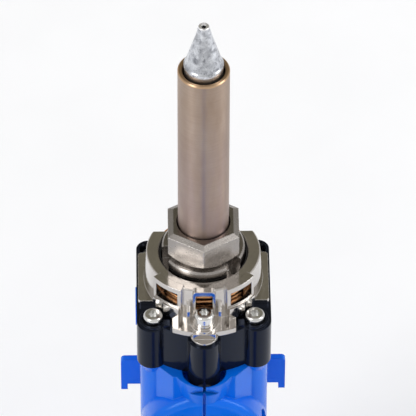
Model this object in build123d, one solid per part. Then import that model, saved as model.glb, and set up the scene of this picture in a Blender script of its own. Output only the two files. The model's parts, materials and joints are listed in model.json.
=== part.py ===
from build123d import *
import math
import os

# Pistol-style desoldering pump with a built-in vacuum pump. Millimetres.
# +Z runs along the barrel to the nozzle tip, the grip points to -Y, +X is the right half.
# The origin is on the barrel axis, in the plane of the rear face.

# ---- main lengths ----
collar_top = 127.0        # top face of the metal front collar
holder_top = collar_top - 10.4
body_top = collar_top - 23.0
wall = 2.0
running_gap = 0.05

# ---- nozzle and heater ----
nozzle_tip_z = collar_top + 72.6
nozzle_tip_r = 1.25
nozzle_bore_r = 0.5
nozzle_neck_r = 1.9
nozzle_base_r = 4.6
nozzle_base_z = collar_top + 61.4
nozzle_band_height = 1.2
pipe_r = 6.0
pipe_wall = 1.05
pipe_mouth_z = collar_top + 59.1
pipe_foot_z = collar_top - 5.5
core_r = 2.6
core_tail_r = 2.2
core_tail_z = 93.0
core_bore_r = 0.75
element_r = 4.6
nut_across_flats = 16.7
nut_top_z = collar_top + 9.8
nut_foot_z = collar_top + 2.05
flange_r = 9.8
flange_top_z = collar_top + 2.0
flange_foot_z = collar_top - 7.0
slot_floor_r = 7.5
slot_angle = 29.0
slot_first_angle = 48.0
seat_r = 9.5

# ---- front collar ----
collar_mouth_r = 10.5
collar_top_r = 13.5
collar_foot_r = 14.1
collar_cavity_r = 12.4
collar_lip = 0.8
plate_top_z = collar_top - 9.0
window_angle = 37.0
window_span = 24.0
collar_back_y = 6.2

# ---- black front holder ----
front_corner_x = 12.0
front_corner_y = -13.1
back_corner_x = 12.8
back_corner_y = 10.4
front_corner_r = 3.6
back_corner_r = 2.9
back_screw_recess = 4.0
holder_back_y = 13.3
holder_half_width = 15.9
holder_front_r = 18.3
centre_boss_y = -17.7
centre_boss_r = 3.95

# ---- housing ----
barrel_half_width = 15.2
barrel_half_depth = 15.5
hump_front_y = -22.0
hump_r = 15.0
hump_top_z = collar_top - 29.0
chamber_half_width = 21.0
chamber_front_y = -22.0
chamber_back_y = 19.0
chamber_top_z = 42.0
rear_face_z = 0.6
rear_pad_r = 9.0
pad_height = 2.2
cavity_top_z = 98.0
cradle_r = 7.8
cradle_y = -15.4
cradle_hole_r = 5.2
seam_width = 0.65
lug_reach = 19.9
seam_depth = 0.9

# stations along the grip: y, centre z, half width in x, half height in z
grip_stations = [
    (-13.0, 36.0, 13.0, 19.0),
    (-40.0, 31.0, 13.0, 16.5),
    (-75.0, 25.0, 13.5, 15.5),
    (-105.0, 19.0, 14.5, 17.5),
    (-122.0, 18.5, 15.0, 17.5),
]
grip_corner_r = 8.0
grip_end_y = -122.0
grip_end_z = 18.5

# housing screws: y and z of each screw axis, which runs along X
housing_screws_yz = [(-17.6, 86.0), (-17.6, 68.0), (-17.0, 7.0), (14.8, 6.1), (-61.0, 21.0), (-97.0, 32.0)]

# ---- filter ----
filter_r = 9.0
filter_foot_z = 60.0
filter_top_z = 92.0
window_half_width = 9.6
slider_foot_z = 52.5
release_travel = 6.0

# ---- pump ----
motor_r = 10.6
motor_foot_z = 4.0
motor_top_z = 31.0
throw = 1.2
eccentric_r = 3.4
eccentric_foot_z = 33.6
eccentric_top_z = 38.6
weight_thickness = 0.8
rod_foot_z = 34.6
rod_top_z = 38.4
rod_bore_r = eccentric_r + 2 * throw + 0.1
pump_axis_z = 36.5

# ---- trigger ----
trigger_front_y = -52.0
trigger_back_y = -28.0
trigger_flange_z = 40.2
trigger_travel = 4.5
switch_shelf_z = 26.0

# ---- dial and lamp ----
dial_z = 17.0
dial_r = 8.0
lamp_z = 34.0


def corners():
    """x, y, boss radius and head recess of the four corner screws."""
    places = []
    for side in (-1, 1):
        places.append((side * front_corner_x, front_corner_y, front_corner_r, 0))
        places.append((side * back_corner_x, back_corner_y, back_corner_r, back_screw_recess))
    return places


# ---------- basic shapes ----------
def block(x0, x1, y0, y1, z0, z1):
    """Box between six coordinates."""
    return Pos((x0 + x1) / 2, (y0 + y1) / 2, (z0 + z1) / 2) * Box(x1 - x0, y1 - y0, z1 - z0)


def post_z(x, y, z0, z1, r):
    """Cylinder along Z."""
    return Pos(x, y, (z0 + z1) / 2) * Cylinder(r, z1 - z0)


def post_y(x, z, y0, y1, r):
    """Cylinder along Y."""
    return Pos(x, (y0 + y1) / 2, z) * Rot(-90, 0, 0) * Cylinder(r, y1 - y0)


def post_x(y, z, x0, x1, r):
    """Cylinder along X."""
    return Pos((x0 + x1) / 2, y, z) * Rot(0, 90, 0) * Cylinder(r, x1 - x0)


def upright(x0, x1, y0, y1, z0, z1, r):
    """Box with its four vertical edges rounded."""
    outline = RectangleRounded(x1 - x0, y1 - y0, r)
    return Pos((x0 + x1) / 2, (y0 + y1) / 2, z0) * extrude(outline, z1 - z0)


def turned(points):
    """Solid of revolution about the barrel axis from (radius, z) points."""
    outline = make_face(Polyline([(r, 0, z) for r, z in points], close=True))
    return revolve(outline, Axis.Z)


def sector(r_in, r_out, z0, z1, angle, span):
    """Piece of a tube. The angle is measured from -Y toward +X."""
    ring = post_z(0, 0, z0, z1, r_out) - post_z(0, 0, z0 - 1, z1 + 1, r_in)
    reach = 2 * r_out
    half = math.radians(span / 2)
    wedge = make_face(Polyline([
        (0, 0, z0),
        (-reach * math.sin(half), -reach * math.cos(half), z0),
        (reach * math.sin(half), -reach * math.cos(half), z0),
    ], close=True))
    wedge = extrude(wedge, z1 - z0, dir=(0, 0, 1))
    return ring & (Rot(0, 0, angle) * wedge)


def coil(mean_r, wire_r, z0, z1, turns):
    """Open coil spring along the local Z axis."""
    path = Helix(pitch=(z1 - z0) / turns, height=z1 - z0, radius=mean_r)
    section = Plane(path @ 0, z_dir=path % 0) * Circle(wire_r)
    return Pos(0, 0, z0) * sweep(section, path=path, is_frenet=True)


def flexible(points, r, bend):
    """Round line of radius r through the points, with rounded corners."""
    path = FilletPolyline(*points, radius=bend)
    section = Plane(path @ 0, z_dir=path % 0) * Circle(r)
    return sweep(section, path=path)


def star_screw(head_r, head_height, shank_r, shank_length):
    """Pan-head screw standing on z = 0 with its shank below and a six-point recess."""
    head = Cylinder(head_r, head_height, align=(Align.CENTER, Align.CENTER, Align.MIN))
    head = fillet(head.edges().sort_by(Axis.Z)[-1], head_height * 0.3)
    shank = Pos(0, 0, -shank_length / 2) * Cylinder(shank_r, shank_length)
    recess_r = head_r * 0.46
    recess_depth = head_height * 0.55
    recess = Pos(0, 0, head_height - recess_depth / 2) * Cylinder(recess_r * 0.8, recess_depth)
    for lobe in range(6):
        tooth_z = head_height - recess_depth / 2
        tooth = Pos(recess_r * 0.8, 0, tooth_z) * Cylinder(recess_r * 0.24, recess_depth)
        recess += Rot(0, 0, 60 * lobe) * tooth
    return head + shank - recess


# ---------- nozzle and heater ----------
def make_nozzle():
    neck_z = nozzle_tip_z - 3.0
    band_foot_z = nozzle_base_z - nozzle_band_height
    thread_r = 2.4
    thread_foot_z = band_foot_z - 7.0
    return turned([
        (nozzle_bore_r, nozzle_tip_z - 0.25),
        (nozzle_tip_r - 0.15, nozzle_tip_z),
        (nozzle_tip_r, nozzle_tip_z - 0.1),
        (nozzle_neck_r, neck_z),
        (nozzle_base_r - 0.3, nozzle_base_z),
        (nozzle_base_r, nozzle_base_z - 0.35),
        (nozzle_base_r, band_foot_z),
        (thread_r, band_foot_z),
        (thread_r, thread_foot_z),
        (nozzle_bore_r, thread_foot_z),
    ])


def make_heater_core():
    # bored steel bar: the nozzle screws into its mouth, its tail feeds the filter
    mouth_z = nozzle_base_z - nozzle_band_height - running_gap
    socket_r = 2.45
    shoulder_z = 110.0
    return turned([
        (socket_r, mouth_z),
        (4.5, mouth_z),
        (4.5, mouth_z - 6.0),
        (socket_r + 0.35, mouth_z - 7.5),
        (core_r, mouth_z - 9.0),
        (core_r, shoulder_z),
        (core_tail_r, shoulder_z),
        (core_tail_r, core_tail_z),
        (core_bore_r, core_tail_z),
        (core_bore_r, mouth_z - 8.2),
        (socket_r, mouth_z - 7.2),
    ])


def make_heater_element():
    # ceramic sleeve round the core
    top_z = pipe_mouth_z - 9.0
    sleeve = post_z(0, 0, 112.0, top_z, element_r)
    return sleeve - post_z(0, 0, 111.0, top_z + 1, core_r + running_gap)


def make_heater_pipe():
    inner_r = pipe_r - pipe_wall
    rim = 0.25
    return turned([
        (inner_r, pipe_foot_z),
        (pipe_r, pipe_foot_z),
        (pipe_r, pipe_mouth_z - rim),
        (pipe_r - rim, pipe_mouth_z),
        (inner_r + rim, pipe_mouth_z),
        (inner_r, pipe_mouth_z - rim),
    ])


def make_heater_nut():
    height = nut_top_z - nut_foot_z
    corner_r = nut_across_flats / math.sqrt(3)
    hexagon = RegularPolygon(corner_r, 6, rotation=30)
    nut = Pos(0, 0, nut_foot_z) * extrude(hexagon, height)
    top_edges = nut.edges().filter_by(Plane.XY).group_by(Axis.Z)[-1]
    nut = chamfer(top_edges, 0.7, 1.3)
    foot_cone = turned([
        (0, nut_foot_z),
        (flange_r - 1.9, nut_foot_z),
        (corner_r + 0.2, nut_foot_z + 1.9),
        (corner_r + 0.2, nut_top_z + 1),
        (0, nut_top_z + 1),
    ])
    return (nut & foot_cone) - post_z(0, 0, nut_foot_z - 1, nut_top_z + 1, pipe_r + 0.35)


def make_bayonet_flange():
    disc = turned([
        (pipe_r + running_gap, flange_foot_z),
        (flange_r - 0.6, flange_foot_z),
        (flange_r - 0.6, flange_foot_z + 3.0),
        (flange_r, flange_foot_z + 3.0),
        (flange_r, flange_top_z - 0.4),
        (flange_r - 0.4, flange_top_z),
        (pipe_r + running_gap, flange_top_z),
    ])
    for turn in range(3):
        angle = slot_first_angle + 120 * turn
        disc -= sector(slot_floor_r, flange_r + 1, flange_top_z - 4.0, flange_top_z + 1, angle, slot_angle)
    return disc


def make_heater_seat():
    # ceramic ring under the flange; the leads enter its side
    seat = post_z(0, 0, 108.0, flange_foot_z - running_gap, seat_r)
    seat -= post_z(0, 0, 110.0, flange_foot_z + 1, element_r + 0.1)
    seat -= post_z(0, 0, 107.0, 111.0, core_tail_r + running_gap)
    for x in lead_x:
        seat -= post_y(x, lead_top_z, -seat_r - 1, -8.4, lead_r + running_gap)
    return seat


def make_insulating_sleeve():
    top_z = collar_top - collar_lip - 0.1
    return post_z(0, 0, collar_top - 9.5, top_z, 10.85) - post_z(0, 0, collar_top - 10, collar_top, 10.1)


def make_shield_spring():
    return coil(11.5, 0.45, collar_top - 8.3, collar_top - 1.35, 4.5)


# ---------- front collar ----------
def collar_shell():
    ring = turned([
        (collar_mouth_r, collar_top),
        (collar_top_r, collar_top),
        (collar_foot_r, plate_top_z),
        (collar_foot_r, holder_top),
        (collar_cavity_r, holder_top),
        (collar_cavity_r, collar_top - collar_lip),
        (collar_mouth_r, collar_top - collar_lip),
    ])
    ring = chamfer(ring.edges().filter_by(GeomType.CIRCLE).group_by(Axis.Z)[-1], 0.25)
    return ring - block(-20, 20, collar_back_y, 20, collar_top - 5.5, collar_top + 1)


def collar_plate():
    ears = upright(-15.5, 15.5, -7.9, 7.9, holder_top, plate_top_z, 0.8)
    tab = post_z(0, 0, holder_top, plate_top_z, 18.5) & block(-7.5, 7.5, -20, 20, holder_top, plate_top_z)
    return ears + tab - post_z(0, 0, holder_top - 1, plate_top_z + 1, collar_cavity_r)


def collar_side_bezel(angle):
    frame_top = collar_top + 0.55
    frame = sector(12.7, 14.9, collar_top - 5.9, frame_top, angle, window_span + 7)
    band = sector(collar_cavity_r, 15.5, plate_top_z - 0.2, collar_top - 5.6, angle, window_span + 4)
    return frame + band


def collar_window(angle):
    return sector(9.0, 16.5, collar_top - 5.1, collar_top - 0.95, angle, window_span)


def collar_front():
    # screw boss between two upright fins, with a narrow window above it
    bezel = block(-2.7, 2.7, -14.3, -12.6, collar_top - 6.9, collar_top + 0.35)
    bezel = fillet(bezel.edges().filter_by(Axis.Y).group_by(Axis.Z)[-1], 1.0)
    boss = post_z(0, -16.0, holder_top, collar_top - 6.95, 2.6)
    boss += post_z(0, -16.0, holder_top, collar_top - 8.0, 3.3)
    boss += block(-3.3, 3.3, -16.0, -12.6, holder_top, collar_top - 8.0)
    ledge = block(-2.7, 2.7, -19.4, -16.0, holder_top, collar_top - 8.6)
    cup = post_z(0, centre_boss_y, holder_top - 0.8, holder_top + 0.2, 3.3)
    cup &= block(-5, 5, -24, -holder_front_r - 0.05, holder_top - 2, holder_top + 2)
    front = bezel + boss + ledge + cup
    for side in (-1, 1):
        fin = block(-0.35, 0.35, -15.6, -12.8, holder_top, collar_top - 3.4)
        fin = chamfer(fin.edges().filter_by(Axis.X).group_by(Axis.Z)[-1].sort_by(Axis.Y)[0], 1.4, 2.4)
        front += Pos(side * 3.7, 0, 0) * fin
    return front


def make_front_collar():
    body = collar_shell() + collar_plate() + collar_front()
    for side in (-1, 1):
        body += collar_side_bezel(side * window_angle)
    for side in (-1, 1):
        body -= collar_window(side * window_angle)
    body -= block(-2.0, 2.0, -18.0, -9.0, collar_top - 6.0, collar_top - 1.0)
    body -= post_z(0, 0, holder_top - 1, collar_top - collar_lip, collar_cavity_r)
    body -= post_z(0, -16.0, holder_top - 1, collar_top - 6.0, 1.35)
    body -= post_z(0, -16.0, collar_top - 6.95, collar_top - 0.95, 2.45)
    for side in (-1, 1):
        body -= post_z(side * front_corner_x, front_corner_y, holder_top - 1, collar_top, 2.6)
    return body


def make_collar_screw():
    return Pos(0, -16.0, collar_top - 6.95) * star_screw(2.35, 2.4, 1.3, 11.5)


def make_corner_screws():
    screws = []
    for x, y, boss_r, recess in corners():
        screws.append(Pos(x, y, holder_top - recess) * star_screw(2.3, 2.4, 1.3, 20.0))
    return Compound(children=screws)


# ---------- black front holder ----------
def holder_outline():
    depth = back_corner_y - front_corner_y
    middle = (back_corner_y + front_corner_y) / 2
    outline = Pos(0, middle) * Rectangle(2 * holder_half_width, depth)
    round_wall = Circle(holder_front_r) & Pos(0, holder_back_y - 30) * Rectangle(2 * front_corner_x, 60)
    outline += round_wall
    for x, y, boss_r, recess in corners():
        outline += Pos(math.copysign(holder_half_width - boss_r, x), y) * Circle(boss_r)
    return outline


def make_front_holder():
    holder = Pos(0, 0, body_top) * extrude(holder_outline(), holder_top - body_top)
    holder += post_z(0, centre_boss_y, body_top - 2.0, holder_top - 0.85, centre_boss_r)
    holder -= post_z(0, 0, 108.0 - running_gap, holder_top + 1, 12.4)
    holder -= post_z(0, 0, body_top - 1, 109.0, core_tail_r + 0.4)
    for x, y, boss_r, recess in corners():
        if recess:
            holder -= post_z(x, y, holder_top - recess, holder_top + 1, 2.4)
        else:
            rim = post_z(x, y, holder_top - 0.5, holder_top + 0.8, 3.3)
            rim -= post_z(x, y, holder_top - 1, holder_top + 2, 2.7)
            holder += rim - block(-10.5, 10.5, -20, 20, holder_top - 1, holder_top + 2)
        holder -= post_z(x, y, body_top - 1, holder_top + 1, 1.45)
    for x in (-8.8, 8.8):
        holder += block(x - 0.8, x + 0.8, -15.6, -13.6, holder_top - 0.5, holder_top + 0.9)
    holder -= post_z(0, -16.0, body_top - 3, holder_top + 1, 1.35)
    for x in lead_x:
        holder -= post_z(x, lead_y, body_top - 1, 109.0, lead_r + 0.3)
    return holder


# ---------- leads from the heater to the board ----------
lead_x = (-5.0, -3.5, 4.2)
lead_y = -10.6
lead_r = 0.6
lead_top_z = 113.0


def make_heater_leads():
    wires = []
    for index, x in enumerate(lead_x):
        side_x = (-9.5, -8.1, 9.5)[index]
        wires.append(flexible([
            (x, -8.5, lead_top_z),
            (x, lead_y, lead_top_z),
            (x, lead_y, 61.0),
            (side_x, -17.0, 50.0),
            (side_x, -32.0, 36.0),
            (side_x, -57.0, 33.5),
            (x * 0.5 - 3.0, -73.0, 27.2),
        ], lead_r, 0.9))
    return Compound(children=wires)


# ---------- housing ----------
def grip_solid(inset):
    sections = []
    for y, z, half_x, half_z in grip_stations:
        near_end = y == grip_end_y
        plane = Plane(origin=(0, y + (inset if near_end else 0), z), x_dir=(1, 0, 0), z_dir=(0, -1, 0))
        outline = RectangleRounded(2 * (half_x - inset), 2 * (half_z - inset), grip_corner_r - inset)
        sections.append(plane * outline)
    return loft(sections)


def hump_solid(inset):
    r = hump_r - inset
    centre_z = hump_top_z - hump_r
    outline = Pos(0, centre_z) * Circle(r) + Pos(0, (centre_z + 20) / 2) * Rectangle(2 * r, centre_z - 20)
    plane = Plane(origin=(0, -8, 0), x_dir=(1, 0, 0), z_dir=(0, -1, 0))
    hump = extrude(plane * outline, -hump_front_y - 8 - inset)
    if inset == 0:
        front_edges = hump.faces().sort_by(Axis.Y)[0].outer_wire().edges()
        hump = fillet(front_edges.filter_by(GeomType.CIRCLE), 2.0)
    return hump


def chamber_solid(inset):
    chamber = upright(
        -chamber_half_width + inset, chamber_half_width - inset,
        chamber_front_y + inset, chamber_back_y - inset,
        rear_face_z + inset, chamber_top_z - inset, 8.0 - inset,
    )
    top_edges = chamber.faces().sort_by(Axis.Z)[-1].outer_wire().edges()
    chamber = chamfer(top_edges, 5.0, 5.5)
    if inset == 0:
        chamber = fillet(chamber.faces().sort_by(Axis.Z)[0].outer_wire().edges(), 1.5)
    return chamber


def barrel_solid(inset):
    return upright(
        -barrel_half_width + inset, barrel_half_width - inset,
        -barrel_half_depth + inset, barrel_half_depth - inset,
        inset + 1.0, body_top - inset, 4.0 - inset,
    )


def front_details(inset):
    # cradle round the holder's front boss, and pillars that taper to a point under the corner bosses
    cradle_height = body_top - hump_top_z + 2.0
    cradle = Cone(cradle_r - 1.4 - inset, cradle_r - inset, cradle_height)
    details = Pos(0, cradle_y, body_top - inset - cradle_height / 2) * cradle
    for side in (-1, 1):
        axis_x = side * (holder_half_width - front_corner_r)
        pillar = Pos(axis_x, front_corner_y, body_top - inset - 3.2) * Cone(0.4, front_corner_r - inset, 6.4)
        details += pillar
    # slanting shoulders from the sides to the cradle
    share = 1 - inset / barrel_half_width
    half_x = barrel_half_width * share
    ridge_x = 7.4 * share
    ridge_y = -19.6 + inset
    flank_y = -11.5 + inset
    shoulder = make_face(Polyline([
        (-half_x, 0), (-half_x, flank_y), (-ridge_x, ridge_y),
        (ridge_x, ridge_y), (half_x, flank_y), (half_x, 0),
    ], close=True))
    return details + Pos(0, 0, 78.0) * extrude(shoulder, body_top - inset - 78.0)


def envelope(inset):
    """Housing volume, shrunk by the inset on every side."""
    return (
        barrel_solid(inset)
        + hump_solid(inset)
        + chamber_solid(inset)
        + grip_solid(inset)
        + front_details(inset)
    )


def screw_bosses():
    bosses = None
    for y, z in housing_screws_yz:
        pair = post_x(y, z, 0, 22, 4.0) + post_x(y, z, -22, 0, 3.2)
        bosses = pair if bosses is None else bosses + pair
    for x, y, boss_r, recess in corners():
        bosses += post_z(x, y, 93.0 - recess, body_top, 2.8)
    return bosses


def inner_ribs():
    # shelf under the release spring, shelf under the trigger, posts behind the board
    ribs = block(-14, 14, -9.5, 14, 41.0, 43.0)
    ribs += block(-12, 12, -55, -35, switch_shelf_z - 2, switch_shelf_z - running_gap)
    for y, z in ((-78.0, 26.0), (-107.0, 17.0)):
        ribs += post_x(y, z, board_x1, 14, 2.2)
    return ribs


def housing_cuts():
    cuts = block(
        -window_half_width, window_half_width, 5.0, 30,
        slider_foot_z - release_travel - 0.5, filter_top_z + 0.6,
    )
    cuts += block(-6.3, 6.3, trigger_front_y - 0.3, trigger_back_y + 0.3, 40.0, 60.0)
    cuts += post_y(0, dial_z, 12.0, 30, 1.9)
    cuts += post_y(0, lamp_z, 12.0, 30, 2.5)
    cuts += post_y(0, grip_end_z, -130, -118, 6.0)
    cuts += post_z(0, 0, cavity_top_z - 1, body_top + 1, 5.0)
    cuts += block(-6.2, 6.2, -11.8, 0, cavity_top_z - 1, body_top + 1)
    cuts += post_z(0, centre_boss_y, body_top - 3.5, body_top + 1, cradle_hole_r)
    cuts += block(-9.05, 9.05, -119.05, -105.95, -1, pad_height + running_gap)
    cuts += post_z(0, 0, -1, pad_height + running_gap, rear_pad_r + running_gap)
    for x, y, boss_r, recess in corners():
        cuts += post_z(x, y, 92.0 - recess, body_top + 1, 1.35)
    for y, z in housing_screws_yz:
        cuts += post_x(y, z, -9.0, 6.0, 1.3)
        cuts += post_x(y, z, 5.0, 30, 2.9)
    for row in range(5):
        z = 11.0 + 4.2 * row
        cuts += block(-30, -chamber_half_width + 3, -9, 5, z - 0.8, z + 0.8)
    return cuts


def hook_lug(side):
    plate = block(14.0, lug_reach, -0.8, 0.8, 81.2, 89.7)
    tip = block(lug_reach - 1.6, lug_reach, -0.8, 0.8, 79.3, 82.0)
    lug = fillet((plate + tip).edges().filter_by(Axis.Y).group_by(Axis.Z)[-1].sort_by(Axis.X)[-1], 1.0)
    return Rot(0, 0, 0 if side > 0 else 180) * lug


def make_housing():
    solid = envelope(0)
    cavity = envelope(wall) & block(-40, 40, -140, 40, 0, cavity_top_z)
    shell = solid - cavity
    shell += screw_bosses() & envelope(0.6)
    shell += inner_ribs() & envelope(0.6)
    shell -= housing_cuts()
    slit = block(-seam_width / 2, seam_width / 2, -140, 40, -1, body_top + 1)
    groove = slit & (solid - envelope(seam_depth))
    shell -= groove
    for side in (-1, 1):
        shell += hook_lug(side)
    shell += block(-16.2, -14.5, 4.0, 10.0, 97.0, body_top - 0.05)
    return shell


def half_of(shell, side):
    x0, x1 = (0, 60) if side > 0 else (-60, 0)
    return shell & block(x0, x1, -150, 60, -10, 140)


def make_housing_screws():
    screws = []
    for y, z in housing_screws_yz:
        screws.append(Pos(5.0, y, z) * Rot(0, 90, 0) * star_screw(2.6, 2.0, 1.25, 13.0))
    return Compound(children=screws)


def make_heel_pad():
    pad = block(-9.0, 9.0, -119.0, -106.0, 0, pad_height)
    return fillet(pad.edges().filter_by(Axis.Z), 1.5)


def make_rear_pad():
    return post_z(0, 0, 0, pad_height, rear_pad_r)


# ---------- filter ----------
def make_seal_cup():
    cup = post_z(0, 0, 96.05, cavity_top_z - 0.02, 9.4)
    return cup - post_z(0, 0, 95, 99, core_tail_r + 0.1)


def make_front_seal():
    seal = post_z(0, 0, filter_top_z + running_gap, 96.0, 8.8)
    return seal - post_z(0, 0, 91, 97, core_tail_r + 0.02)


def make_filter_pipe():
    tube = post_z(0, 0, filter_foot_z, filter_top_z, filter_r)
    return tube - post_z(0, 0, filter_foot_z - 1, filter_top_z + 1, filter_r - 1.2)


def make_solder_trap():
    return coil(6.9, 0.5, 74.8, 91.2, 4)


def make_trap_disc():
    disc = post_z(0, 0, 71.6, 74.2, filter_r - 1.3)
    for turn in range(6):
        disc -= Rot(0, 0, 60 * turn) * post_z(4.6, 0, 71, 75, 1.3)
    return disc


def make_paper_filter():
    return post_z(0, 0, filter_foot_z + 1.0, 71.5, filter_r - 1.3) - post_z(0, 0, filter_foot_z, 66.0, 2.0)


def make_rear_seal():
    seal = post_z(0, 0, 57.0, filter_foot_z - running_gap, 8.8)
    return seal - post_z(0, 0, 56, 61, 1.6)


def make_release_slider():
    # carriage under the filter with a thumb lever through the window and a hose spigot
    body = post_z(0, 0, slider_foot_z, 56.98, 9.0)
    lever = block(-5.0, 5.0, 4.0, 20.0, slider_foot_z, 56.5)
    lever = fillet(lever.edges().filter_by(Axis.Z).group_by(Axis.Y)[-1], 1.5)
    body += lever
    for rib in range(3):
        rib_z = slider_foot_z + 0.4 + 1.3 * rib
        body += block(-4.0, 4.0, 19.5, 20.6, rib_z, rib_z + 0.7)
    body += post_y(0, 54.7, -12.6, -7.0, 1.5)
    body -= post_z(0, 0, 54.0, 58.0, 1.6)
    body -= post_y(0, 54.7, -13.0, 0.0, 0.8)
    return body


def make_release_spring():
    return coil(6.0, 0.45, 43.6, slider_foot_z - 0.6, 4)


def make_vacuum_hose():
    path = FilletPolyline((0, -9.7, 54.7), (0, -16.8, 54.7), (0, -16.8, 43.4), radius=2.6)
    plane = Plane(path @ 0, z_dir=path % 0)
    tube = sweep(plane * Circle(2.3), path=path)
    return tube - sweep(plane * Circle(1.52), path=path)


# ---------- pump ----------
def make_pump_motor():
    can = post_z(0, 0, motor_foot_z, motor_top_z, motor_r)
    can = fillet(can.edges().filter_by(GeomType.CIRCLE), 0.8)
    nose = post_z(0, 0, motor_top_z - 0.5, motor_top_z + 1.0, 3.0)
    return can + nose - post_z(0, 0, 20.0, motor_top_z + 2, 1.0 + running_gap)


def make_motor_terminals():
    tabs = [block(x - 1.2, x + 1.2, -0.3, 0.3, 2.7, motor_foot_z - 0.02) for x in (-6.0, 6.0)]
    return Compound(children=tabs)


def make_motor_shaft():
    return post_z(0, 0, 21.0, 40.4, 1.0)


def make_eccentric():
    weight_top_z = eccentric_foot_z + weight_thickness
    disc = post_z(throw, 0, eccentric_foot_z, eccentric_top_z, eccentric_r)
    weight = sector(2.2, 8.0, eccentric_foot_z, weight_top_z, 270, 100)
    hub = post_z(0, 0, eccentric_foot_z, weight_top_z, 2.6)
    return disc + weight + hub - post_z(0, 0, 33, 40, 1.0 + 0.01)


def make_pump_rod():
    """Yoke behind the diaphragm; its ring has room for the whole orbit of the eccentric."""
    ring = post_z(0, 0, rod_foot_z, rod_top_z, rod_bore_r + 1.4)
    arm = block(-1.8, 1.8, -13.4, -rod_bore_r - 0.7, rod_foot_z, rod_top_z)
    button = post_y(0, pump_axis_z, -14.4, -13.0, 3.0)
    return ring + arm + button - post_z(0, 0, rod_foot_z - 1, rod_top_z + 1, rod_bore_r)


def make_motor_bracket():
    plate = post_z(0, 0, motor_top_z + 0.05, motor_top_z + 1.6, motor_r)
    plate += block(-9.0, 9.0, -15.9, 0, motor_top_z + 0.05, motor_top_z + 1.6)
    return plate - post_z(0, 0, 30, 35, 3.1)


def make_diaphragm():
    disc = post_y(0, pump_axis_z, -17.2, -15.95, 6.2)
    return disc - (post_y(0, pump_axis_z, -16.3, -15.0, 4.6) - post_y(0, pump_axis_z, -17, -15, 3.4))


def make_pump_head():
    head = block(-7.5, 7.5, -25.4, -17.25, 29.5, 43.2)
    head = fillet(head.edges().filter_by(Axis.Y), 1.6)
    chamber = post_y(0, pump_axis_z, -20.0, -17.0, 4.8)
    inlet = post_z(0, -16.8, 41.0, 42.0, 1.0)
    ports = post_y(-2.4, pump_axis_z, -24.0, -19.0, 0.9) + post_y(2.4, pump_axis_z, -24.0, -19.0, 0.9)
    spigot = post_z(0, -18.9, 42.0, 43.4, 1.4)
    return head - chamber - ports + spigot - inlet


def make_valve_plate():
    plate = block(-7.5, 7.5, -26.6, -25.45, 29.5, 43.2)
    return fillet(plate.edges().filter_by(Axis.Y), 1.6)


def make_exhaust_felt():
    return block(-18.9, -16.6, -10, 6, 8, 32)


# ---------- trigger ----------
def make_trigger():
    finger_z = 57.0
    pad = block(-6.0, 6.0, trigger_front_y, trigger_back_y, trigger_flange_z, finger_z)
    mid_y = (trigger_front_y + trigger_back_y) / 2
    scoop_r = 24.0
    pad -= post_x(mid_y, finger_z + scoop_r - 3.2, -10, 10, scoop_r)
    pad = fillet(pad.edges().filter_by(Axis.Z), 1.6)
    flange_top_z = trigger_flange_z + 1.8
    flange = block(-7.2, 7.2, trigger_front_y - 1.0, trigger_back_y + 1.0, trigger_flange_z, flange_top_z)
    return pad + flange - block(-4.6, 4.6, -48, -32, trigger_flange_z - 1, trigger_flange_z + 8)


def make_trigger_spring():
    top_z = trigger_flange_z + 7.4
    return Pos(0, -40, 0) * coil(3.6, 0.4, switch_shelf_z + 0.45, top_z, 7)


def make_microswitch():
    switch = block(-3.2, 3.2, -54.0, -47.5, switch_shelf_z, 33.5)
    switch += block(-1.2, 1.2, -51.6, -50.0, 33.4, trigger_flange_z - trigger_travel - 0.1)
    for y in (-53.2, -50.8, -48.4):
        switch += block(3.0, 4.6, y - 0.4, y + 0.4, 27.0, 27.8)
    return switch


# ---------- board ----------
board_x0 = 3.0
board_x1 = 4.6


def make_circuit_board():
    board = block(board_x0, board_x1 - running_gap, -112, -73, 13, 30)
    for y, z in ((-78.0, 26.0), (-107.0, 17.0)):
        board -= post_x(y, z, 2, 6, 1.0)
    board -= post_x(-97.0, 32.0, -5, 10, 4.2)
    return board


def make_capacitor():
    can = post_x(-86.0, 20.5, -8.0, board_x0 - 0.02, 5.0)
    return fillet(can.edges().sort_by(Axis.X)[0], 0.6)


def make_power_block():
    return block(-8.5, board_x0 - 0.02, -107.5, -94.5, 13.5, 26.5)


def make_heat_sink():
    base = block(-4.0, board_x0 - 0.02, -80.0, -74.0, 13.5, 14.7)
    for fin in range(4):
        base += block(-4.0, board_x0 - 0.02, -80.0 + 1.6 * fin, -79.2 + 1.6 * fin, 13.5, 21.0)
    return base


def make_terminal_block():
    body = block(-6.0, board_x0 - 0.02, -79.6, -73.6, 22.6, 29.6)
    return body - post_x(-76.6, 26.1, -7, -2, 1.6)


# ---------- dial and lamp ----------
def make_potentiometer():
    body = post_y(0, dial_z, motor_r + 0.2, chamber_back_y - wall - 0.05, 6.0)
    return body - post_y(0, dial_z, 11, 20, 1.6 + running_gap)


def make_temperature_dial():
    face_y = chamber_back_y + 0.3
    knob = post_y(0, dial_z, face_y, face_y + 4.0, dial_r)
    knob = chamfer(knob.edges().filter_by(GeomType.CIRCLE).sort_by(Axis.Y)[-1], 0.6)
    for groove in range(24):
        turn = Pos(0, 0, dial_z) * Rot(0, 15 * groove, 0) * Pos(0, 0, -dial_z)
        knob -= turn * post_y(dial_r + 0.3, dial_z, face_y - 1, face_y + 5, 0.6)
    knob -= block(-0.6, 0.6, face_y + 3.4, face_y + 5, dial_z + 1.0, dial_z + 6.6)
    stem = post_y(0, dial_z, motor_r + 0.7, face_y + 0.5, 1.6)
    return knob + stem


def make_indicator_lens():
    lens = post_y(0, lamp_z, chamber_back_y - 1.9, chamber_back_y + 0.6, 2.4)
    return fillet(lens.edges().filter_by(GeomType.CIRCLE).sort_by(Axis.Y)[-1], 0.8)


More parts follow.
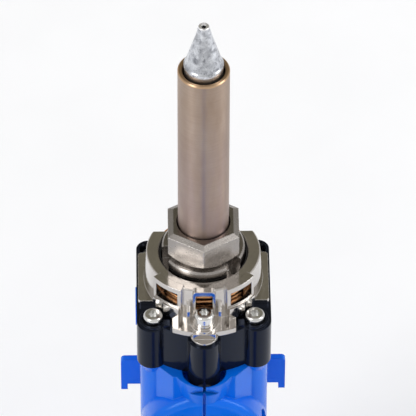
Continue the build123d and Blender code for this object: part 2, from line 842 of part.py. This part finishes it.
def make_indicator_led():
    return post_y(0, lamp_z, chamber_back_y - 5.0, chamber_back_y - 2.0, 1.5)


# ---------- cord inlet ----------
def make_cord_gland():
    gland = post_y(0, grip_end_z, grip_end_y - 2.5, grip_end_y - 0.02, 8.0)
    gland = chamfer(gland.edges().filter_by(GeomType.CIRCLE).sort_by(Axis.Y)[0], 0.8)
    gland += post_y(0, grip_end_z, grip_end_y - 1, -114.5, 5.95)
    return gland - post_y(0, grip_end_z, grip_end_y - 4, -113, 3.4)


def make_gland_nut():
    hexagon = RegularPolygon(9.0, 6)
    plane = Plane(origin=(0, -116.8, grip_end_z), x_dir=(1, 0, 0), z_dir=(0, -1, 0))
    nut = extrude(plane * hexagon, 3.0)
    return nut - post_y(0, grip_end_z, -121, -115, 6.0)


# ---------- write one file per piece ----------
os.makedirs("parts", exist_ok=True)

housing = make_housing()
pieces = {
    "nozzle": make_nozzle(),
    "heater_core": make_heater_core(),
    "heater_element": make_heater_element(),
    "heater_pipe": make_heater_pipe(),
    "heater_nut": make_heater_nut(),
    "bayonet_flange": make_bayonet_flange(),
    "heater_seat": make_heater_seat(),
    "insulating_sleeve": make_insulating_sleeve(),
    "shield_spring": make_shield_spring(),
    "front_collar": make_front_collar(),
    "collar_screw": make_collar_screw(),
    "corner_screws": make_corner_screws(),
    "front_holder": make_front_holder(),
    "heater_leads": make_heater_leads(),
    "left_housing": half_of(housing, -1),
    "right_housing": half_of(housing, 1),
    "housing_screws": make_housing_screws(),
    "heel_pad": make_heel_pad(),
    "rear_pad": make_rear_pad(),
    "seal_cup": make_seal_cup(),
    "front_seal": make_front_seal(),
    "filter_pipe": make_filter_pipe(),
    "solder_trap": make_solder_trap(),
    "trap_disc": make_trap_disc(),
    "paper_filter": make_paper_filter(),
    "rear_seal": make_rear_seal(),
    "release_slider": make_release_slider(),
    "release_spring": make_release_spring(),
    "vacuum_hose": make_vacuum_hose(),
    "pump_motor": make_pump_motor(),
    "motor_terminals": make_motor_terminals(),
    "motor_shaft": make_motor_shaft(),
    "eccentric": make_eccentric(),
    "pump_rod": make_pump_rod(),
    "motor_bracket": make_motor_bracket(),
    "diaphragm": make_diaphragm(),
    "pump_head": make_pump_head(),
    "valve_plate": make_valve_plate(),
    "exhaust_felt": make_exhaust_felt(),
    "trigger": make_trigger(),
    "trigger_spring": make_trigger_spring(),
    "microswitch": make_microswitch(),
    "circuit_board": make_circuit_board(),
    "capacitor": make_capacitor(),
    "power_block": make_power_block(),
    "heat_sink": make_heat_sink(),
    "terminal_block": make_terminal_block(),
    "potentiometer": make_potentiometer(),
    "temperature_dial": make_temperature_dial(),
    "indicator_lens": make_indicator_lens(),
    "indicator_led": make_indicator_led(),
    "cord_gland": make_cord_gland(),
    "gland_nut": make_gland_nut(),
}
for name, piece in pieces.items():
    export_step(piece, f"parts/{name}.step")
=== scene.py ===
import json
import math

import bmesh
import bpy
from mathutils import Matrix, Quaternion, Vector


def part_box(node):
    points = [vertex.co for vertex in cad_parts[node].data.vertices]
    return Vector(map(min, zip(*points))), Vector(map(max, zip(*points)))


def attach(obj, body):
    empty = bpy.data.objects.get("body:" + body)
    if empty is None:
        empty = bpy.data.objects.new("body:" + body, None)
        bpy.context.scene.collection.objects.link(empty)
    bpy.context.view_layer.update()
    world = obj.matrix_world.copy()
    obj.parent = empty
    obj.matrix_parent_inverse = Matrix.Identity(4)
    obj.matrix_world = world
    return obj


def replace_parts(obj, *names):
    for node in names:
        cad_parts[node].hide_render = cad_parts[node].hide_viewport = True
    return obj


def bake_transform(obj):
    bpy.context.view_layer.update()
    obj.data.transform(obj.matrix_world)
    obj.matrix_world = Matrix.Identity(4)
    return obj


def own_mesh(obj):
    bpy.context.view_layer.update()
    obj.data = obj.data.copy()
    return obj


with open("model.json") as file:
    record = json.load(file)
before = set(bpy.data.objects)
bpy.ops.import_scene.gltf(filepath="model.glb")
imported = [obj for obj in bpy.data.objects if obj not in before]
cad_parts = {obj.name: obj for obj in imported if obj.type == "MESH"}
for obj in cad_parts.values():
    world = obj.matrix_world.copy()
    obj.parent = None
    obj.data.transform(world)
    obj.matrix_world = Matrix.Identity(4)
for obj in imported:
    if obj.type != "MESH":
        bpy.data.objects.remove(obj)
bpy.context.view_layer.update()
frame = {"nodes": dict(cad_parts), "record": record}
nodes = frame["nodes"]
MM = 0.001
# Width of the lighter edge band, which is rubbed wear and also a painted edge highlight.
EDGE_WEAR_AND_HIGHLIGHT_MM = 0.25
scene = bpy.context.scene

# ---------------------------------------------------------------- shader helpers


class Shader:
    """A material under construction: a Principled surface plus short-hands for its node tree."""

    def __init__(self, name):
        self.material = bpy.data.materials.new(name)
        self.material.use_nodes = True
        self.tree = self.material.node_tree
        self.surface = self.tree.nodes["Principled BSDF"]
        coords = self.tree.nodes.new("ShaderNodeTexCoord")
        self.mm = self.node("ShaderNodeVectorMath", operation="SCALE")
        self.mm.inputs["Scale"].default_value = 1000.0
        self.link(coords.outputs["Object"], self.mm.inputs[0])
        self.mm = self.mm.outputs["Vector"]

    def node(self, kind, **settings):
        made = self.tree.nodes.new(kind)
        for key, value in settings.items():
            setattr(made, key, value)
        return made

    def link(self, source, target):
        self.tree.links.new(source, target)

    def stretched(self, scales):
        made = self.node("ShaderNodeVectorMath", operation="MULTIPLY")
        self.link(self.mm, made.inputs[0])
        made.inputs[1].default_value = scales
        return made.outputs["Vector"]

    def noise(self, scale, detail=4.0, rough=0.55, scales=None, distortion=0.0):
        made = self.node("ShaderNodeTexNoise")
        self.link(self.stretched(scales) if scales else self.mm, made.inputs["Vector"])
        made.inputs["Scale"].default_value = scale
        made.inputs["Detail"].default_value = detail
        made.inputs["Roughness"].default_value = rough
        made.inputs["Distortion"].default_value = distortion
        return made.outputs["Fac"]

    def ramp(self, fac, stops):
        made = self.node("ShaderNodeValToRGB")
        while len(made.color_ramp.elements) < len(stops):
            made.color_ramp.elements.new(0.5)
        for element, (place, value) in zip(made.color_ramp.elements, stops):
            element.position = place
            grey = (value, value, value, 1.0)
            element.color = grey if isinstance(value, (int, float)) else (*value, 1.0)
        self.link(fac, made.inputs["Fac"])
        return made.outputs["Color"]

    def math(self, operation, a, b, clamp=False):
        made = self.node("ShaderNodeMath", operation=operation, use_clamp=clamp)
        for socket, value in zip(made.inputs, (a, b)):
            if isinstance(value, (int, float)):
                socket.default_value = value
            else:
                self.link(value, socket)
        return made.outputs["Value"]

    def mix(self, fac, a, b):
        made = self.node("ShaderNodeMix", data_type="RGBA", blend_type="MIX")
        sockets = (made.inputs["Factor"], made.inputs["A"], made.inputs["B"])
        for socket, value in zip(sockets, (fac, a, b)):
            if isinstance(value, tuple):
                socket.default_value = (*value, 1.0)
            elif isinstance(value, (int, float)):
                socket.default_value = value
            else:
                self.link(value, socket)
        return made.outputs["Result"]

    def axis(self, name):
        made = self.node("ShaderNodeSeparateXYZ")
        self.link(self.mm, made.inputs[0])
        return made.outputs[name]

    def edges(self, radius_mm):
        """White on convex and concave edges, within a radius of them."""
        bevel = self.node("ShaderNodeBevel", samples=4)
        bevel.inputs["Radius"].default_value = radius_mm * MM
        flat = self.node("ShaderNodeNewGeometry")
        dot = self.node("ShaderNodeVectorMath", operation="DOT_PRODUCT")
        self.link(bevel.outputs["Normal"], dot.inputs[0])
        self.link(flat.outputs["Normal"], dot.inputs[1])
        away = self.math("SUBTRACT", 1.0, dot.outputs["Value"])
        return self.ramp(away, [(0.02, 0.0), (0.25, 1.0)])

    def bump(self, height, strength, distance_mm=0.05, round_mm=0.0):
        made = self.node("ShaderNodeBump")
        made.inputs["Strength"].default_value = strength
        made.inputs["Distance"].default_value = distance_mm * MM
        self.link(height, made.inputs["Height"])
        if round_mm:
            bevel = self.node("ShaderNodeBevel", samples=4)
            bevel.inputs["Radius"].default_value = round_mm * MM
            self.link(bevel.outputs["Normal"], made.inputs["Normal"])
        self.link(made.outputs["Normal"], self.surface.inputs["Normal"])

    def set(self, **values):
        for key, value in values.items():
            socket = self.surface.inputs[key.replace("_", " ")]
            if isinstance(value, tuple):
                socket.default_value = (*value, 1.0) if len(value) == 3 else value
            elif isinstance(value, (int, float)):
                socket.default_value = value
            else:
                self.link(value, socket)


def shade(colour, factor):
    return tuple(min(1.0, channel * factor) for channel in colour)


def surface_with_edge_wear_and_highlight(name, colour, metallic, rough, edge_wear_and_highlight_colour=(0.9, 0.9, 0.9), edge_wear_and_highlight_amount=0.25, spread=0.12,
                 grain=6.0, grain_depth=0.15, scales=None, round_mm=0.15, patch=0.12, **extra):
    """Base colour drifting in patches, fine grain in the relief, and lighter edges: rubbed wear together with
    a painted edge highlight.
    """
    s = Shader(name)
    patches = s.noise(patch, 5.0, 0.6)
    tone = s.ramp(patches, [(0.3, shade(colour, 1.0 - spread)), (0.7, shade(colour, 1.0 + spread))])
    fine = s.noise(grain, 3.0, 0.6, scales)
    tone = s.mix(s.ramp(fine, [(0.35, 0.0), (0.75, 0.35)]), tone, shade(colour, 0.8))
    # Edges lightened in patches: partly rubbed wear, partly a painted edge highlight on convex and concave
    # edges.
    wear_and_highlight_patches = s.ramp(s.noise(1.4), [(0.35, 0.0), (0.7, edge_wear_and_highlight_amount)])
    tone = s.mix(s.math("MULTIPLY", s.edges(EDGE_WEAR_AND_HIGHLIGHT_MM), wear_and_highlight_patches), tone, edge_wear_and_highlight_colour)
    smudge = s.ramp(s.noise(0.35, 6.0, 0.65), [(0.3, rough * 0.75), (0.75, min(1.0, rough * 1.35))])
    s.set(Base_Color=tone, Metallic=metallic, Roughness=smudge, **extra)
    s.bump(fine, grain_depth, 0.02, round_mm)
    return s.material


def heat_tinted():
    """Turned steel pipe, straw to bronze from the heat, with a faint violet tint in patches all round its
    lower end.
    """
    s = Shader("tinted_steel")
    rings = s.noise(1.0, 3.0, 0.6, (0.15, 0.15, 9.0))
    drift = s.noise(0.09, 4.0, 0.6, (1.0, 1.0, 0.35))
    bronze = s.ramp(drift, [
        (0.3, (0.30, 0.215, 0.160)),
        (0.5, (0.42, 0.315, 0.245)),
        (0.72, (0.50, 0.40, 0.33)),
    ])
    z = s.axis("Z")
    foot_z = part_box("heater_pipe")[0][2] / MM
    low = s.math("SUBTRACT", 1.0, s.math("DIVIDE", s.math("SUBTRACT", z, foot_z + 8.0), 50.0, True), True)
    # Violet tint in patches, full up to 8 mm above the pipe's foot and fading out over the next 50 mm, the
    # same all round.
    violet_tint_low = s.math("MULTIPLY", low, s.ramp(s.noise(0.3, 4.0, 0.6, (1, 1, 0.2)), [(0.3, 0.05), (0.65, 0.35)]))
    tone = s.mix(violet_tint_low, bronze, (0.19, 0.15, 0.30))
    tone = s.mix(s.ramp(rings, [(0.35, 0.0), (0.8, 0.3)]), tone, (0.22, 0.17, 0.14))
    rim = s.math("GREATER_THAN", z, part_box("heater_pipe")[1][2] / MM - 0.5)
    tone = s.mix(rim, tone, (0.62, 0.42, 0.26))
    s.set(Base_Color=tone, Metallic=1.0, Roughness=s.ramp(drift, [(0.3, 0.30), (0.75, 0.38)]),
          Anisotropic=0.9, Anisotropic_Rotation=0.25)
    s.bump(rings, 0.12, 0.02)
    return s.material


def nozzle_plating():
    """Iron plating: bright grey with darker mottling and a worn, brighter rim."""
    s = Shader("nozzle_plating")
    mottled = s.noise(0.8, 6.0, 0.7, distortion=0.6)
    tone = s.ramp(mottled, [
        (0.34, (0.26, 0.27, 0.30)),
        (0.5, (0.58, 0.60, 0.64)),
        (0.68, (0.82, 0.84, 0.88)),
    ])
    tip_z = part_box("nozzle")[1][2] / MM
    z = s.axis("Z")
    rim = s.math("GREATER_THAN", z, tip_z - 0.35)
    tone = s.mix(rim, tone, (0.9, 0.9, 0.92))
    s.set(Base_Color=tone, Metallic=1.0, Roughness=s.ramp(mottled, [(0.3, 0.36), (0.7, 0.16)]))
    s.bump(s.noise(3.0, 5.0, 0.65), 0.25, 0.03, 0.1)
    return s.material


def clear(name, colour, rough, density):
    s = Shader(name)
    haze = s.noise(0.4, 4.0, 0.6)
    s.set(Base_Color=s.mix(s.ramp(haze, [(0.4, 0.0), (0.8, density)]), colour, shade(colour, 0.7)),
          Roughness=s.ramp(haze, [(0.3, rough), (0.8, rough + 0.08)]), Transmission_Weight=0.9, IOR=1.46)
    s.bump(haze, 0.05, 0.02)
    return s.material


def fibrous(name, colour, depth=0.6):
    s = Shader(name)
    strands = s.noise(2.2, 8.0, 0.75, (1.0, 1.0, 0.4))
    s.set(Base_Color=s.ramp(strands, [(0.3, shade(colour, 0.7)), (0.7, colour)]), Roughness=0.95)
    s.bump(strands, depth, 0.15)
    return s.material


def laminate():
    s = Shader("green_laminate")
    cells = s.node("ShaderNodeTexBrick")
    s.link(s.stretched((0.0, 0.45, 0.45)), cells.inputs["Vector"])
    cells.inputs["Color1"].default_value = (0.02, 0.20, 0.09, 1.0)
    cells.inputs["Color2"].default_value = (0.03, 0.27, 0.12, 1.0)
    cells.inputs["Mortar"].default_value = (0.10, 0.40, 0.20, 1.0)
    s.set(Base_Color=cells.outputs["Color"], Roughness=s.ramp(s.noise(0.5), [(0.3, 0.3), (0.7, 0.45)]))
    s.bump(s.noise(5.0), 0.1, 0.02)
    return s.material


BLUE = (0.0, 0.145, 0.80)
# Fifth and sixth arguments give the colour and amount of the lighter edges: rubbed wear plus a painted edge
# highlight.
materials = {
    "nozzle_plating": nozzle_plating(),
    "tinted_steel": heat_tinted(),
    "steel": surface_with_edge_wear_and_highlight("steel", (0.52, 0.52, 0.53), 1.0, 0.32, scales=(1.0, 1.0, 4.0)),
    "ceramic": surface_with_edge_wear_and_highlight("ceramic", (0.82, 0.78, 0.70), 0.0, 0.6, edge_wear_and_highlight_amount=0.1, grain=3.0),
    "nickel_steel": surface_with_edge_wear_and_highlight("nickel_steel", (0.36, 0.335, 0.315), 1.0, 0.25, (0.95, 0.94, 0.92), 0.95,
                                 scales=(0.3, 0.3, 7.0), grain=1.0, grain_depth=0.2, round_mm=0.2),
    "copper": surface_with_edge_wear_and_highlight("copper", (0.80, 0.42, 0.20), 1.0, 0.25, (0.95, 0.7, 0.5), 0.2),
    "nickel_casting": surface_with_edge_wear_and_highlight("nickel_casting", (0.62, 0.59, 0.56), 1.0, 0.13, (0.98, 0.97, 0.97), 0.9,
                                   grain=1.5, grain_depth=0.12, round_mm=0.25),
    "zinc_steel": surface_with_edge_wear_and_highlight("zinc_steel", (0.78, 0.78, 0.77), 1.0, 0.2, (0.95, 0.95, 0.95), 0.4,
                               round_mm=0.12),
    "black_plastic": surface_with_edge_wear_and_highlight("black_plastic", (0.005, 0.006, 0.010), 0.0, 0.16, (0.08, 0.09, 0.11), 0.5,
                                  grain=5.0, grain_depth=0.12, round_mm=0.35,
                                  Specular_IOR_Level=0.28, Specular_Tint=(0.45, 0.60, 1.0)),
    "blue_plastic": surface_with_edge_wear_and_highlight("blue_plastic", BLUE, 0.0, 0.2, (0.12, 0.35, 0.95), 0.35, 0.06,
                                 grain=4.0, grain_depth=0.06, round_mm=0.45, patch=0.05,
                                 Subsurface_Weight=0.08, Subsurface_Scale=0.002,
                                 Specular_Tint=(0.5, 0.8, 1.0)),
    "yellow_plastic": surface_with_edge_wear_and_highlight("yellow_plastic", (0.88, 0.56, 0.02), 0.0, 0.3, (1.0, 0.8, 0.3), 0.3),
    "dark_plastic": surface_with_edge_wear_and_highlight("dark_plastic", (0.03, 0.03, 0.034), 0.0, 0.5, (0.15, 0.15, 0.16), 0.4),
    "white_plastic": surface_with_edge_wear_and_highlight("white_plastic", (0.80, 0.80, 0.77), 0.0, 0.45, edge_wear_and_highlight_amount=0.1),
    "green_plastic": surface_with_edge_wear_and_highlight("green_plastic", (0.05, 0.33, 0.14), 0.0, 0.45),
    "black_rubber": surface_with_edge_wear_and_highlight("black_rubber", (0.022, 0.022, 0.022), 0.0, 0.75, (0.08, 0.08, 0.08), 0.4,
                                 grain=3.0, grain_depth=0.4),
    "red_rubber": surface_with_edge_wear_and_highlight("red_rubber", (0.40, 0.07, 0.04), 0.0, 0.6, (0.6, 0.3, 0.25), 0.2),
    "clear_rubber": surface_with_edge_wear_and_highlight("clear_rubber", (0.70, 0.68, 0.62), 0.0, 0.4, edge_wear_and_highlight_amount=0.1,
                                 Subsurface_Weight=0.3, Subsurface_Scale=0.001),
    "lead_sleeving": fibrous("lead_sleeving", (0.82, 0.80, 0.74), 0.4),
    "aluminium": surface_with_edge_wear_and_highlight("aluminium", (0.72, 0.73, 0.74), 1.0, 0.3, scales=(4.0, 4.0, 1.0)),
    "brass": surface_with_edge_wear_and_highlight("brass", (0.72, 0.52, 0.22), 1.0, 0.28, (0.95, 0.85, 0.55), 0.3),
    "paper": fibrous("paper", (0.90, 0.88, 0.82)),
    "felt": fibrous("felt", (0.68, 0.68, 0.66)),
    "green_laminate": laminate(),
    "clear_glass": clear("clear_glass", (0.93, 0.97, 0.98), 0.03, 0.3),
    "lamp_lens": clear("lamp_lens", (0.85, 0.05, 0.03), 0.15, 0.4),
}
slots = {part["node"]: part["material_slot"] for part in frame["record"]["subparts"]}
for node, slot in slots.items():
    mesh = nodes[node].data
    mesh.materials.clear()
    mesh.materials.append(materials[slot])


def flexing(node):
    """Same mesh as a CAD node, as a separate object that takes the hidden CAD node's place."""
    piece = bpy.data.objects.new(node + "_flexing", nodes[node].data.copy())
    scene.collection.objects.link(piece)
    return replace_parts(piece, node)


for node, joint in (("release_spring", "filter_release"), ("trigger_spring", "trigger_pull")):
    spring = flexing(node)
    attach(spring, "gun")
    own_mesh(spring)

hose = flexing("vacuum_hose")
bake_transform(hose)


# ---------------------------------------------------------------- floor, light and camera


def plain_floor():
    size = 3.0
    mesh = bpy.data.meshes.new("floor")
    shape = bmesh.new()
    bmesh.ops.create_grid(shape, x_segments=8, y_segments=8, size=size)
    shape.to_mesh(mesh)
    shape.free()
    floor = bpy.data.objects.new("floor", mesh)
    scene.collection.objects.link(floor)
    s = Shader("floor_paper")
    tone = s.ramp(s.noise(0.02, 3.0), [(0.3, (0.85, 0.86, 0.885)), (0.7, (0.88, 0.89, 0.915))])
    s.set(Base_Color=tone, Roughness=0.9, Emission_Color=(1.0, 1.0, 1.0), Emission_Strength=0.06)
    s.bump(s.noise(0.8), 0.05, 0.05)
    mesh.materials.append(s.material)


def softbox(name, place, aim, size, watts, mirrored=True):
    """Rectangular lamp; one that isn't mirrored lights the scene without showing in reflections."""
    data = bpy.data.lights.new(name, "AREA")
    data.shape = "RECTANGLE"
    data.size, data.size_y = size
    data.energy = watts
    lamp = bpy.data.objects.new(name, data)
    lamp.visible_glossy = mirrored
    lamp.location = place
    lamp.rotation_mode = "QUATERNION"
    lamp.rotation_quaternion = (Vector(aim) - Vector(place)).to_track_quat("-Z", "Y")
    scene.collection.objects.link(lamp)


def room_light():
    """Pale tent with one darker khaki patch, high behind the tool, for the level faces to mirror."""
    world = bpy.data.worlds.new("tent")
    scene.world = world
    world.use_nodes = True
    tree = world.node_tree
    background = tree.nodes["Background"]
    coords = tree.nodes.new("ShaderNodeTexCoord")
    along = tree.nodes.new("ShaderNodeVectorMath")
    along.operation = "DOT_PRODUCT"
    patch_direction = (0.0, math.sqrt(0.5), math.sqrt(0.5))
    along.inputs[1].default_value = patch_direction
    tree.links.new(coords.outputs["Generated"], along.inputs[0])
    ramp = tree.nodes.new("ShaderNodeValToRGB")
    stops = (
        (0.0, (0.75, 0.74, 0.72)),
        (0.86, (0.72, 0.71, 0.70)),
        (0.93, (0.25, 0.235, 0.185)),
        (1.0, (0.22, 0.205, 0.16)),
    )
    while len(ramp.color_ramp.elements) < len(stops):
        ramp.color_ramp.elements.new(0.5)
    for element, (place, colour) in zip(ramp.color_ramp.elements, stops):
        element.position = place
        element.color = (*colour, 1.0)
    shift = tree.nodes.new("ShaderNodeMath")
    shift.operation = "MULTIPLY_ADD"
    shift.inputs[1].default_value = 0.5
    shift.inputs[2].default_value = 0.5
    tree.links.new(along.outputs["Value"], shift.inputs[0])
    tree.links.new(shift.outputs["Value"], ramp.inputs["Fac"])
    tree.links.new(ramp.outputs["Color"], background.inputs["Color"])
    background.inputs["Strength"].default_value = 0.95


def photo_camera():
    """Long lens from the grip side, 45 degrees above the level."""
    flange_stands_proud = 2.0 * MM
    collar_top_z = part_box("bayonet_flange")[1][2] - flange_stands_proud
    elevation = math.radians(45.5)
    azimuth = math.radians(-1.0)
    distance = 1.1
    width_at_target = 0.0974
    roll = math.radians(0.2)
    beside_axis = 0.00108
    above_collar = 0.0141
    target = Vector((beside_axis, 0.0, collar_top_z + above_collar))
    back = Vector((
        math.sin(azimuth) * math.cos(elevation),
        -math.cos(azimuth) * math.cos(elevation),
        math.sin(elevation),
    ))
    data = bpy.data.cameras.new("camera")
    data.sensor_width = 36.0
    data.lens = data.sensor_width * distance / width_at_target
    data.clip_start = 0.05
    data.clip_end = 20.0
    camera = bpy.data.objects.new("camera", data)
    camera.location = target + back * distance
    camera.rotation_mode = "QUATERNION"
    camera.rotation_quaternion = (-back).to_track_quat("-Z", "Y") @ Quaternion((0.0, 0.0, 1.0), roll)
    scene.collection.objects.link(camera)
    scene.camera = camera


plain_floor()
room_light()
collar = (0.0, 0.0, 0.13)
softbox("key_light", (-0.55, -0.42, 0.70), collar, (0.3, 0.7), 2.6)
softbox("fill_light", (0.65, -0.10, 0.60), collar, (0.25, 0.7), 2.0)
softbox("floor_light", (0.0, 0.62, 0.55), (0.0, 0.42, 0.0), (1.6, 0.7), 2.6, mirrored=False)
photo_camera()
scene.view_settings.view_transform = "Standard"
